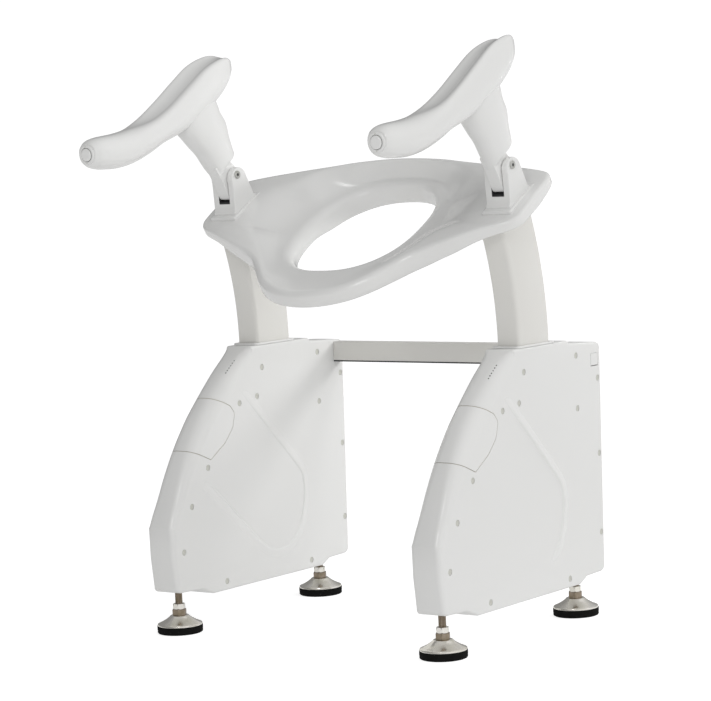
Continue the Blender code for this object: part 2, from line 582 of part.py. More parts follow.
# ---- build --------------------------------------------------------------------------------
def main():
    for old in list(bpy.data.objects):
        bpy.data.objects.remove(old, do_unlink=True)
    lift = empty("lift_axis", (0, ARC_Y, ARC_Z))
    for side, sign in (("left", -1), ("right", 1)):
        centre = sign * TOWER_X
        tower_cover("outer_cover_" + side, centre, sign)
        tower_cover("inner_cover_" + side, centre, -sign)
        tower_frame(side, centre)
        arm_guide(side, centre)
        arm_shoe(side, centre)
        battery(side, centre)
        lift_arm(side, centre, lift)
        arm_pin(side, centre, lift)
        actuator(side, centre)
        controller(side, centre)
        bracket(side, sign * BRACKET_X, lift)
        armrest(side, sign)
        for place, y in zip(("front", "rear"), FOOT_Y):
            foot(f"{place}_{side}", centre, y)
    port_flap(TOWER_X)
    crossbar()
    seat_shell(lift)


main()
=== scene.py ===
import math

import bmesh
import bpy
from mathutils import Matrix, Vector


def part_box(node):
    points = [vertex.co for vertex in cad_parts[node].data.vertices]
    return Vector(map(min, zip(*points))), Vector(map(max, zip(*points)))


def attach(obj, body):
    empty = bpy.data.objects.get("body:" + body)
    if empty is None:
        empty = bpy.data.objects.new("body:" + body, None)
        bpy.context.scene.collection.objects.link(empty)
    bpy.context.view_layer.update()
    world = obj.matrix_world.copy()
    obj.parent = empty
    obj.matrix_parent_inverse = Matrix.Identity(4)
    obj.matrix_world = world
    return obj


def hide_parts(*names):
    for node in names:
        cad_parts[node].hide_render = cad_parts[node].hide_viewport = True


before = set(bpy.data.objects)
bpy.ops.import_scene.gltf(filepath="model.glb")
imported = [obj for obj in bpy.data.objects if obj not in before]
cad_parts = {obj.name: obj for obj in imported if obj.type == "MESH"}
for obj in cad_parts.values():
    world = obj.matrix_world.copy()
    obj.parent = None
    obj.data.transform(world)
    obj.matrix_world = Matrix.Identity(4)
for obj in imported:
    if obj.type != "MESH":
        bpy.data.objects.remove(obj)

for default in ("Cube", "Light", "Camera"):
    if default in bpy.data.objects:
        bpy.data.objects.remove(bpy.data.objects[default], do_unlink=True)
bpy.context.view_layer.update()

# ---- camera -------------------------------------------------------------------------------
AZIMUTH, ELEVATION, ROLL = math.radians(37.014), math.radians(4.755), math.radians(-2.762)
CAMERA_AT = Vector((2.4691, -3.2566, 0.7692))
LENS, SENSOR = 135.86, 36.0


def add_camera():
    """Camera in front and to the right, a little higher than the seat."""
    side = Vector((math.cos(AZIMUTH), math.sin(AZIMUTH), 0))
    back = Vector((math.sin(AZIMUTH) * math.cos(ELEVATION), -math.cos(AZIMUTH) * math.cos(ELEVATION),
                   math.sin(ELEVATION)))
    up = back.cross(side)
    right = side * math.cos(ROLL) + up * math.sin(ROLL)
    top = up * math.cos(ROLL) - side * math.sin(ROLL)
    data = bpy.data.cameras.new("photo_camera")
    data.lens = LENS
    data.sensor_width = SENSOR
    data.clip_start, data.clip_end = 0.1, 100.0
    camera = bpy.data.objects.new("photo_camera", data)
    turn = Matrix((right, top, back)).transposed()
    camera.matrix_world = Matrix.Translation(CAMERA_AT) @ turn.to_4x4()
    bpy.context.scene.collection.objects.link(camera)
    bpy.context.scene.camera = camera


add_camera()

# ---- dimensions shared with the CAD, metres in the row frame --------------------------------
TOWER_X, TOWER_HALF, WALL = 0.250, 0.026, 0.003
ARC_Y, ARC_Z = -0.411, 0.434
ARM_FRONT, ARM_REAR, ARM_HALF, ARM_WALL = 0.475, 0.560, 0.0205, 0.003
TILT = math.radians(28.5)
SEAT_Y, SEAT_Z = 0.053, 0.6187
HOLE_HALF = (0.103, 0.124)
BRACKET_X, BRACKET_HALF, SLOT_HALF = 0.2614, 0.0215, 0.0106
WING_TOP, PIN_V, PIN_W = 0.0245, 0.0347, 0.0770
REST_X = 0.2700
FEET = {"front": -0.137, "rear": 0.222}
SIDES = (("left", -1), ("right", 1))


# ---- materials ------------------------------------------------------------------------------
def surface(slot, name, colour, rough, metallic=0.0, coat=0.0, tint=0.04, rough_spread=0.06, grain=900.0,
            bump=0.02, patch=14.0, ior=1.5):
    """Principled material: broad colour drift (on the nickel a painted reflection), roughness patches and a
    fine moulded or ground grain.
    """
    made = bpy.data.materials.new(name)
    made.use_nodes = True
    nodes, links = made.node_tree.nodes, made.node_tree.links
    shader = nodes["Principled BSDF"]
    shader.inputs["Metallic"].default_value = metallic
    shader.inputs["IOR"].default_value = ior
    shader.inputs["Coat Weight"].default_value = coat
    shader.inputs["Coat Roughness"].default_value = 0.12
    spot = nodes.new("ShaderNodeTexCoord")

    def noise(size, detail):
        node = nodes.new("ShaderNodeTexNoise")
        node.inputs["Scale"].default_value = size
        node.inputs["Detail"].default_value = detail
        links.new(spot.outputs["Object"], node.inputs["Vector"])
        return node.outputs["Fac"]

    def between(factor, low, high):
        node = nodes.new("ShaderNodeMapRange")
        node.inputs["From Min"].default_value = 0.3
        node.inputs["From Max"].default_value = 0.7
        node.inputs["To Min"].default_value = low
        node.inputs["To Max"].default_value = high
        links.new(factor, node.inputs["Value"])
        return node.outputs["Result"]

    drift = nodes.new("ShaderNodeMix")
    drift.data_type = "RGBA"
    darker = [c * (1 - tint) for c in colour]
    darker[2] *= 1 - tint * 0.5
    drift.inputs["A"].default_value = (*darker, 1)
    drift.inputs["B"].default_value = (*colour, 1)
    links.new(between(noise(patch, 4.0), 0.0, 1.0), drift.inputs["Factor"])
    links.new(drift.outputs["Result"], shader.inputs["Base Color"])
    links.new(between(noise(patch * 4, 3.0), rough - rough_spread, rough + rough_spread),
              shader.inputs["Roughness"])
    relief = nodes.new("ShaderNodeBump")
    relief.inputs["Strength"].default_value = bump
    relief.inputs["Distance"].default_value = 0.0005
    links.new(noise(grain, 2.0), relief.inputs["Height"])
    links.new(relief.outputs["Normal"], shader.inputs["Normal"])
    made.diffuse_color = (*colour, 1)
    made["slot"] = slot
    return made


WHITE = surface("white_plastic", "moulded_white", (0.80, 0.80, 0.79), 0.30, coat=0.25, tint=0.008,
                rough_spread=0.015, bump=0.02, patch=5.0, grain=240.0)
GLOSS = surface("white_plastic", "gloss_white", (0.81, 0.81, 0.80), 0.20, coat=0.60, tint=0.008,
                rough_spread=0.02, bump=0.01, grain=200.0, patch=5.0)
ENAMEL = surface("white_enamel", "arm_enamel", (0.76, 0.75, 0.72), 0.32, coat=0.20, tint=0.015,
                 rough_spread=0.04, bump=0.12, grain=420.0)
PLUG = surface("white_plastic", "screw_cap", (0.62, 0.62, 0.58), 0.42, tint=0.10, patch=400.0)
SEAM = surface("white_plastic", "seam_shadow", (0.50, 0.46, 0.38), 0.60, tint=0.20, patch=200.0)
# The nickel's brownish colour patches (tint and patch) are a painted reflection of warm surroundings on the
# polished metal.
NICKEL = surface("polished_nickel", "bright_nickel", (0.95, 0.92, 0.88), 0.18, metallic=1.0, tint=0.16,
                 bump=0.010, rough_spread=0.04, grain=90.0, patch=45.0)
BOLT = surface("polished_nickel", "bolt_steel", (0.66, 0.66, 0.65), 0.34, metallic=1.0, tint=0.15, bump=0.02,
               grain=300.0, patch=120.0)
STEEL = surface("stud_steel", "oiled_steel", (0.40, 0.33, 0.27), 0.38, metallic=1.0, tint=0.30, bump=0.10,
                patch=180.0, grain=1400.0)
ZINC = surface("zinc_steel", "zinc_plate", (0.55, 0.56, 0.58), 0.36, metallic=1.0, tint=0.20, bump=0.08,
               patch=120.0)
RUBBER = surface("black_rubber", "foot_rubber", (0.006, 0.006, 0.006), 0.90, tint=0.35, bump=0.25,
                 grain=700.0, patch=160.0, ior=1.25)
DARK = surface("dark_plastic", "matt_dark", (0.035, 0.036, 0.040), 0.46, tint=0.25, bump=0.12, patch=90.0)


# ---- mesh helpers -----------------------------------------------------------------------------
def build(name, verts, faces, paint, angle=35.0):
    """A smooth-shaded mesh object from points in the row frame."""
    mesh = bpy.data.meshes.new(name)
    bm = bmesh.new()
    made = [bm.verts.new(v) for v in verts]
    for face in faces:
        bm.faces.new([made[i] for i in face])
    bmesh.ops.recalc_face_normals(bm, faces=bm.faces[:])
    bm.to_mesh(mesh)
    bm.free()
    mesh.materials.append(paint)
    return place(name, mesh, angle)


def place(name, mesh, angle=35.0):
    """Link a mesh as an object, smooth apart from edges sharper than angle."""
    mesh.shade_smooth()
    mesh.set_sharp_from_angle(angle=math.radians(angle))
    made = bpy.data.objects.new(name, mesh)
    bpy.context.scene.collection.objects.link(made)
    return made


def settle(piece, body, replaces=(), bevel=0.0):
    """Round a piece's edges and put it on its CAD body."""
    if bevel:
        soft = piece.modifiers.new("rounding", "BEVEL")
        soft.width = bevel
        soft.segments = 3
        soft.limit_method = "ANGLE"
        soft.angle_limit = math.radians(38)
        soft.harden_normals = True
        soft.use_clamp_overlap = True
    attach(piece, body)
    if replaces:
        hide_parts(*replaces)
    return piece


def loft(rings, closed=False):
    """Points and faces that join rings of equal length, with end caps unless the rings close up."""
    count = len(rings[0])
    verts = [p for ring in rings for p in ring]
    faces = []
    for i in range(len(rings) if closed else len(rings) - 1):
        a, b = i * count, ((i + 1) % len(rings)) * count
        for k in range(count):
            m = (k + 1) % count
            faces.append((a + k, a + m, b + m, b + k))
    if not closed:
        faces.append(tuple(range(count)))
        faces.append(tuple(range(len(verts) - count, len(verts))))
    return verts, faces


def merged(*parts):
    """Several (points, faces) pairs as one."""
    verts, faces = [], []
    for more, sides in parts:
        faces += [tuple(i + len(verts) for i in face) for face in sides]
        verts += more
    return verts, faces


def spline(points, steps, closed=False):
    """Catmull-Rom curve through tuples of any length."""
    count = len(points)
    result = []
    for i in range(count if closed else count - 1):
        if closed:
            p = [points[(i + k) % count] for k in (-1, 0, 1, 2)]
        else:
            p = [points[max(0, min(count - 1, i + k))] for k in (-1, 0, 1, 2)]
        for k in range(steps):
            t = k / steps
            result.append(tuple(
                0.5 * (2 * b + (c - a) * t + (2 * a - 5 * b + 4 * c - d) * t * t
                       + (3 * b - a - 3 * c + d) * t ** 3) for a, b, c, d in zip(*p)))
    if not closed:
        result.append(tuple(points[-1]))
    return result


def smooth(low, high, x):
    """Smooth step from 0 at low to 1 at high."""
    t = max(0.0, min(1.0, (x - low) / (high - low)))
    return t * t * (3 - 2 * t)


def rounded(corners, steps=5):
    """Outline with filleted corners from (y, z, radius) entries; radius 0 keeps the point."""
    result = []
    count = len(corners)
    for i, (y, z, radius) in enumerate(corners):
        if not radius:
            result.append((y, z))
            continue
        here = Vector((y, z))
        before = (Vector(corners[i - 1][:2]) - here).normalized()
        after = (Vector(corners[(i + 1) % count][:2]) - here).normalized()
        half = before.angle(after) / 2
        centre = here + (before + after).normalized() * radius / math.sin(half)
        start = here + before * radius / math.tan(half) - centre
        end = here + after * radius / math.tan(half) - centre
        for k in range(steps + 1):
            t = k / steps
            turn = start.lerp(end, t).normalized() * radius
            result.append(tuple(centre + turn))
    return result


def prism(outline, low, high):
    """A (y, z) outline extruded across from low to high."""
    return loft([[(low, y, z) for y, z in outline], [(high, y, z) for y, z in outline]])


def lathe(profile, centre, axis, segments=48, closed=False, shape=None):
    """A (radius, along) profile turned about an axis; shape(angle, radius) can bend each ring."""
    axis = Vector(axis).normalized()
    side = Vector((0, 0, 1)) if abs(axis.z) < 0.9 else Vector((1, 0, 0))
    side = (side - axis * side.dot(axis)).normalized()
    third = axis.cross(side)
    rings = []
    for radius, along in profile:
        ring = []
        for k in range(segments):
            turn = 2 * math.pi * k / segments
            r = shape(turn, radius) if shape else radius
            out = side * math.cos(turn) + third * math.sin(turn)
            ring.append(tuple(Vector(centre) + axis * along + out * r))
        rings.append(ring)
    return loft(rings, closed=closed)


def carve(target, operation, *tools, angle=35.0):
    """Apply Boolean operations to a mesh object, shade it again and throw the tools away."""
    for tool in tools:
        change = target.modifiers.new("carve", "BOOLEAN")
        change.operation = operation
        change.solver = "EXACT"
        change.object = tool
        graph = bpy.context.evaluated_depsgraph_get()
        mesh = bpy.data.meshes.new_from_object(target.evaluated_get(graph), depsgraph=graph)
        target.modifiers.clear()
        target.data = mesh
    target.data.shade_smooth()
    target.data.set_sharp_from_angle(angle=math.radians(angle))
    for tool in tools:
        bpy.data.objects.remove(tool, do_unlink=True)
    return target


def copy_to(source, name, dx):
    """A copy of a mesh object moved across by dx, in its points."""
    mesh = source.data.copy()
    mesh.transform(Matrix.Translation((dx, 0, 0)))
    return place(name, mesh)


def grown_box(low, high, grow):
    """(y, z) corners of a box's side face, moved outwards by grow."""
    return [(low.y - grow, low.z - grow), (high.y + grow, low.z - grow),
            (high.y + grow, high.z + grow), (low.y - grow, high.z + grow)]


def arc_point(radius, angle):
    """(y, z) of a point on the lift's arc."""
    return ARC_Y + radius * math.cos(angle), ARC_Z + radius * math.sin(angle)


def seat_point(across, back, up):
    """Point in the row frame from coordinates along and across the tilted seat."""
    c, s = math.cos(TILT), math.sin(TILT)
    return across, SEAT_Y + back * c - up * s, SEAT_Z + back * s + up * c


# ---- towers -----------------------------------------------------------------------------------
FRONT_CURVE = [(-0.1738, 0.1670), (-0.1655, 0.186), (-0.155, 0.206), (-0.136, 0.245), (-0.116, 0.280),
               (-0.093, 0.3125), (-0.067, 0.343), (-0.013, 0.393), (0.034, 0.4255)]
# width of the rounded edge along the front, by height
EDGE_BY_HEIGHT = [(0.06, 0.006), (0.12, 0.008), (0.165, 0.010), (0.20, 0.013), (0.27, 0.019), (0.34, 0.0225),
                  (0.39, 0.0225), (0.425, 0.0160), (0.44, 0.009)]
# cover screws on a tower's right-hand face, (y, z)
COVER_SCREWS = [(0.065, 0.3945), (0.049, 0.3495), (0.0045, 0.343), (-0.0805, 0.251), (-0.124, 0.1955),
                (-0.148, 0.128), (-0.0485, 0.067), (0.169, 0.0665), (0.2645, 0.125), (0.2675, 0.248),
                (0.271, 0.365), (0.211, 0.405), (0.210, 0.324)]
# battery hatch from the side, clockwise, as (y, z, corner radius); its two ends lie off the tower
HATCH_EDGE = [(-0.100, 0.3785, 0), (-0.0190, 0.3420, 0.006), (-0.0082, 0.3290, 0.010),
              (-0.0152, 0.3056, 0.020), (-0.0358, 0.2843, 0.025), (-0.0728, 0.2620, 0.003),
              (-0.200, 0.3163, 0)]
HATCH_GAP = 0.0011
# hollow behind the hatch that holds the cells, (y, z)
BATTERY_POCKET = [(-0.1010, 0.2805), (-0.0570, 0.3365), (-0.0235, 0.3375), (0.0100, 0.3250),
                  (-0.0500, 0.2560), (-0.0720, 0.2664)]
LIGHT_COUNT, LIGHT_LOW, LIGHT_PITCH, LIGHT_X = 6, 0.3940, 0.0033, 0.0135
# moulded line on a cover's face, and its way back along the bottom on the inner covers, (y, z)
CREASE = [(0.005, 0.3665), (0.052, 0.3200), (0.104, 0.2680), (0.1500, 0.2215), (0.1585, 0.2020),
          (0.1600, 0.1800), (0.1525, 0.1480), (0.1385, 0.1220), (0.115, 0.1010)]
CREASE_RETURN = [(0.1000, 0.0962), (0.0797, 0.0965), (0.0596, 0.1029), (0.0425, 0.1136), (0.0046, 0.1467),
                 (-0.0326, 0.1809), (-0.0648, 0.2093), (-0.0945, 0.2338)]


def by_height(z):
    """Rounding of a tower's front edge at height z."""
    for (z0, r0), (z1, r1) in zip(EDGE_BY_HEIGHT, EDGE_BY_HEIGHT[1:]):
        if z <= z1:
            t = max(0.0, (z - z0) / (z1 - z0))
            return r0 + (r1 - r0) * t
    return EDGE_BY_HEIGHT[-1][1]


def tower_outline():
    """Tower's silhouette and the rounding of its outer edge at each point."""
    front = [(y, z, 0) for y, z in spline(FRONT_CURVE, 5)]
    corners = [(-0.1660, 0.0660, 0.009), (-0.1728, 0.1200, 0)] + front + [
        (0.0410, 0.4300, 0.010), (0.1900, 0.4300, 0.0045), (0.1940, 0.4255, 0.0045),
        (0.2820, 0.4200, 0.010), (0.2710, 0.0635, 0.010), (0.2200, 0.0620, 0.007),
        (0.2000, 0.0525, 0.007), (-0.0800, 0.0525, 0.009), (-0.1100, 0.0640, 0.009)]
    outline = rounded(corners)
    radii = [by_height(z) if y < 0.036 and z > 0.07 else 0.0036 for y, z in outline]
    for _ in range(6):
        radii = [(radii[i - 1] + r + radii[(i + 1) % len(radii)]) / 3 for i, r in enumerate(radii)]
    return outline, radii


def inset(outline, distances):
    """Move the points of a clockwise outline inwards."""
    count = len(outline)
    moved = []
    for i, (y, z) in enumerate(outline):
        a, b = outline[i - 1], outline[(i + 1) % count]
        along = Vector((b[0] - a[0], b[1] - a[1])).normalized()
        moved.append((y + along.y * distances[i], z - along.x * distances[i]))
    return moved


def half_shell(outline, radii, inner, outer, steps=6):
    """Solid from the plane at inner to a face at outer whose edge is rounded by radii."""
    sign = 1 if outer > inner else -1
    rings = [[(inner, y, z) for y, z in outline]]
    for k in range(steps + 1):
        turn = math.pi / 2 * k / steps
        moved = inset(outline, [r * (1 - math.cos(turn)) for r in radii])
        rings.append([(outer - sign * r * (1 - math.sin(turn)), y, z)
                      for r, (y, z) in zip(radii, moved)])
    return loft(rings)


def screw_holes(face_x):
    """Cutters for the recesses around the cover screws."""
    parts = [lathe([(0.0049, -0.0012), (0.0049, 0.002)], (face_x, y, z), (1, 0, 0), 24)
             for y, z in COVER_SCREWS]
    return merged(*parts)


def bead(points, half_width, height, face_x, out, ease):
    """Raised line moulded into a face, steep in front, long behind, fading out over a share of each end."""
    path = spline(points, 6)
    rings = []
    for i, (y, z) in enumerate(path):
        a, b = path[max(0, i - 1)], path[min(len(path) - 1, i + 1)]
        along = Vector((b[0] - a[0], b[1] - a[1])).normalized()
        fade = smooth(0, ease, min(i, len(path) - 1 - i) / len(path))
        ring = []
        for k in range(13):
            t = -1 + k / 6
            rise = height * fade * math.cos(t * math.pi / 2) ** 2
            wide = half_width * (3.5 if t > 0 else 1)
            ring.append((face_x + out * (rise - 0.0001), y - along.y * t * wide, z + along.x * t * wide))
        for t in (2.8, -0.8):
            ring.append((face_x - out * 0.0012, y - along.y * half_width * t, z + along.x * half_width * t))
        rings.append(ring)
    return loft(rings)


def tower_covers():
    """Two moulded cover halves, shared by both towers, with screw recesses on the right-hand faces."""
    outline, radii = tower_outline()
    cavity, cavity_radii = inset(outline, [WALL] * len(outline)), [max(r - WALL, 0.001) for r in radii]
    halves = {}
    for out, title in ((1, "plus"), (-1, "minus")):
        half = build("half_" + title, *half_shell(outline, radii, out * 0.00001, out * TOWER_HALF), WHITE)
        hollow = build("hollow", *half_shell(cavity, cavity_radii, -out * 0.002,
                                             out * (TOWER_HALF - WALL)), WHITE)
        hatch = build("hatch_tool", *prism(rounded(HATCH_EDGE), -0.004 if out > 0 else -0.03,
                                           0.03 if out > 0 else 0.004), WHITE)
        collar = build("collar", *prism([(0.0577, 0.41), (0.1548, 0.41), (0.1548, 0.44), (0.0577, 0.44)],
                                        -0.023, 0.023), WHITE)
        feet = build("feet_tool", *merged(*[lathe([(0.0078, 0.045), (0.0078, 0.08)], (0, y, 0),
                                                  (0, 0, 1), 32) for y in FEET.values()]), WHITE)
        tools = [hollow, hatch, collar, feet]
        if out > 0:
            tools.append(build("screw_tool", *screw_holes(TOWER_HALF), WHITE))
        halves[out] = carve(half, "DIFFERENCE", *tools)
    for side, sign in SIDES:
        for out in (1, -1):
            where = "outer" if out == sign else "inner"
            name = f"{where}_cover_{side}"
            shell = copy_to(halves[out], f"{where}_shell_{side}", sign * TOWER_X)
            if side == "right" and out > 0:
                low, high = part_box("charge_port_flap")
                port = grown_box(low, high, 0.0004)
                carve(shell, "DIFFERENCE", build("port_tool", *prism(port, low.x - 0.0005, high.x + 0.01),
                                                 WHITE))
            settle(shell, "base", [name])
            path, rise, ease = CREASE, 0.0020, 0.18
            if where == "inner":
                path, rise, ease = CREASE + CREASE_RETURN, 0.0014, 0.07
            face = sign * TOWER_X + out * TOWER_HALF
            line = build(f"{where}_crease_{side}", *bead(path, 0.0042, rise, face, out, ease), GLOSS, 60)
            settle(line, "base")
    for half in halves.values():
        bpy.data.objects.remove(half, do_unlink=True)
    for side, sign in SIDES:
        face = sign * TOWER_X + TOWER_HALF
        plugs = [lathe([(0.0044, -0.0011), (0.0044, -0.0007), (0.0040, -0.0004), (0.0016, -0.00035),
                        (0.0012, -0.0006)], (face, y, z), (1, 0, 0), 24) for y, z in COVER_SCREWS]
        settle(build("cover_screw_caps_" + side, *merged(*plugs), PLUG), "base")


def full_skin(deep):
    """The whole tower's closed skin, moved inwards by deep."""
    outline, radii = tower_outline()
    rings = []
    for out in (-1, 1):
        for k in range(7):
            turn = math.pi / 2 * (k if out > 0 else 6 - k) / 6
            moved = inset(outline, [deep + (r - deep) * (1 - math.cos(turn)) for r in radii])
            rings.append([(out * (TOWER_HALF - deep - (r - deep) * (1 - math.sin(turn))), y, z)
                          for r, (y, z) in zip(radii, moved)])
    return loft(rings)


def battery_hatches():
    """Hollow battery hatch that follows the tower's skin, and the shaded strip around its edge."""
    edge = rounded(HATCH_EDGE)

    def block(name, inwards, paint):
        return build(name, *prism(inset(edge, [inwards] * len(edge)), -0.03, 0.03), paint)

    skin = build("hatch_skin", *full_skin(0.0), GLOSS)
    carve(skin, "INTERSECT", block("hatch_block", HATCH_GAP, GLOSS))
    carve(skin, "DIFFERENCE", build("hatch_pocket", *prism(BATTERY_POCKET, -0.0215, 0.0215), GLOSS))
    liner = build("liner", *full_skin(0.0007), SEAM)
    carve(liner, "INTERSECT", block("liner_block", -0.0004, SEAM))
    carve(liner, "DIFFERENCE", block("liner_hole", HATCH_GAP - 0.0002, SEAM),
          build("liner_core", *full_skin(WALL), SEAM))
    for side, sign in SIDES:
        hatch = copy_to(skin, "hatch_" + side, sign * TOWER_X)
        settle(hatch, "battery_" + side, ["battery_hatch_" + side])
        settle(copy_to(liner, "hatch_seam_" + side, sign * TOWER_X), "base")
    for part in (skin, liner):
        bpy.data.objects.remove(part, do_unlink=True)


def level_lights():
    """Row of small charge-level lights on the slope over the hatch."""
    outline, radii = tower_outline()
    for side, sign in SIDES:
        dots = []
        for k in range(LIGHT_COUNT):
            z = LIGHT_LOW + LIGHT_PITCH * k
            best = min(range(len(outline)), key=lambda i: abs(outline[i][1] - z) + (outline[i][0] > 0.1))
            first = best if outline[best][1] <= z else best - 1
            a, b = outline[first], outline[first + 1]
            t = (z - a[1]) / (b[1] - a[1])
            along = Vector((b[0] - a[0], b[1] - a[1])).normalized()
            out = Vector((-along.y, along.x))
            r = radii[best]
            turn = math.asin(max(0.0, 1 - (TOWER_HALF - LIGHT_X) / r))
            y = a[0] + (b[0] - a[0]) * t - out.x * r * (1 - math.cos(turn))
            high = z - out.y * r * (1 - math.cos(turn))
            normal = (math.sin(turn), out.x * math.cos(turn), out.y * math.cos(turn))
            dots.append(lathe([(0.0010, -0.0008), (0.0010, 0.0001), (0.0008, 0.00025)],
                              (sign * TOWER_X + LIGHT_X, y, high), normal, 16))
        settle(build("level_lights_" + side, *merged(*dots), DARK), "base")


def rectangle(centre, half_x, low_y, high_y, z, radius, steps=5):
    """Level ring with rounded corners."""
    points = []
    for x, y, start in ((half_x, high_y, 0), (-half_x, high_y, 90), (-half_x, low_y, 180),
                        (half_x, low_y, 270)):
        cx = x - math.copysign(radius, x)
        cy = y - radius if y == high_y else y + radius
        for k in range(steps + 1):
            a = math.radians(start + 90 * k / steps)
            points.append((centre + cx + radius * math.cos(a), cy + radius * math.sin(a), z))
    return points


def arm_guides():
    """Moulded collar around each arm where it leaves the tower."""
    shape = ((0.0227, 0.0580, 0.1545, 0.4080, 0.006), (0.0227, 0.0580, 0.1545, 0.4303, 0.006),
             (0.0245, 0.0550, 0.1580, 0.4303, 0.007), (0.0245, 0.0550, 0.1580, 0.4318, 0.007),
             (0.0238, 0.0556, 0.1574, 0.4330, 0.007), (0.0218, 0.0610, 0.1510, 0.4332, 0.006),
             (0.0212, 0.0618, 0.1500, 0.4322, 0.006), (0.0212, 0.0618, 0.1500, 0.4080, 0.006))
    for side, sign in SIDES:
        rings = [rectangle(sign * TOWER_X, *row) for row in shape]
        settle(build("guide_collar_" + side, *loft(rings, closed=True), WHITE), "base",
               ["arm_guide_" + side])


# ---- lift arms ----------------------------------------------------------------------------------
def seat_height_angle(radius, up):
    """Angle at which an arc of this radius meets the plane that is up above the seat's base."""
    c, s = math.cos(TILT), math.sin(TILT)
    level = -s * (ARC_Y - SEAT_Y) + c * (ARC_Z - SEAT_Z)
    return TILT + math.asin((up - level) / radius)


def arm_ring(centre, half, front, rear, angle_front, angle_rear, corner, steps=4):
    """Rounded rectangular section of a curved arm."""
    middle, depth = (front + rear) / 2, (rear - front) / 2
    ring = []
    for sx, sr, start in ((1, 1, 0), (-1, 1, 90), (-1, -1, 180), (1, -1, 270)):
        for k in range(steps + 1):
            a = math.radians(start + 90 * k / steps)
            x = sx * (half - corner) + corner * math.cos(a)
            radial = sr * (depth - corner) + corner * math.sin(a)
            share = (radial + depth) / (2 * depth)
            y, z = arc_point(middle + radial, angle_front + (angle_rear - angle_front) * share)
            ring.append((centre + x, y, z))
    return ring


def lift_arms():
    """Hollow curved arms from inside the towers to the seat."""
    top = [seat_height_angle(r, 0.0072) for r in (ARM_FRONT, ARM_REAR)]
    foot, steps = math.radians(-8.0), 26
    for side, sign in SIDES:
        outer, inner = [], []
        for k in range(steps + 1):
            share = k / steps
            ends = [foot + (t - foot) * share for t in top]
            outer.append(arm_ring(sign * TOWER_X, ARM_HALF, ARM_FRONT, ARM_REAR, *ends, 0.006))
            ends = [foot + (t - 0.008 - foot) * share for t in top]
            inner.append(arm_ring(sign * TOWER_X, ARM_HALF - ARM_WALL, ARM_FRONT + ARM_WALL,
                                  ARM_REAR - ARM_WALL, *ends, 0.004))
        arm = build("arm_" + side, *loft(list(reversed(inner)) + outer), ENAMEL)
        settle(arm, "lift", ["lift_arm_" + side])


# ---- seat -----------------------------------------------------------------------------------------
SEAT_PLAN = [(0.000, -0.1965), (0.036, -0.1925), (0.071, -0.1795), (0.101, -0.1580), (0.127, -0.1285),
             (0.150, -0.1030), (0.176, -0.0860), (0.203, -0.0735), (0.233, -0.0595), (0.262, -0.0450),
             (0.289, -0.0310), (0.3015, -0.0170), (0.3040, 0.000), (0.3035, 0.040), (0.3020, 0.078),
             (0.2965, 0.0960), (0.2820, 0.1045), (0.241, 0.1120), (0.208, 0.1160), (0.175, 0.1210),
             (0.130, 0.1300), (0.085, 0.1395), (0.040, 0.1455), (0.000, 0.1475)]
SEAT_TOP = [0.000, 0.000, 0.0005, 0.002, 0.004, 0.0075, 0.0115, 0.0155, 0.0185, 0.0195,
            0.0190, 0.0200, 0.0220, 0.0245, 0.0250,
            0.0255, 0.0265, 0.0290, 0.0310, 0.0325, 0.0330, 0.0335, 0.0335, 0.0335]
SEAT_UNDER = [-0.0250, -0.0250, -0.0250, -0.0245, -0.0240, -0.0225, -0.0185, -0.0105, 0.0015, 0.0070,
              0.0085, 0.0085, 0.0085, 0.0085, 0.0085,
              0.0090, 0.0100, 0.0110, 0.0100, 0.0060, 0.0000, -0.0060, -0.0100, -0.0120]


def hole_point(angle, grow=0.0):
    """Point on the seat hole's superelliptic edge, moved outwards by grow."""
    power = 2.0 / 2.35
    c, s = math.cos(angle), math.sin(angle)
    return Vector((math.copysign(abs(c) ** power, c) * (HOLE_HALF[0] + grow),
                   math.copysign(abs(s) ** power, s) * (HOLE_HALF[1] + grow)))


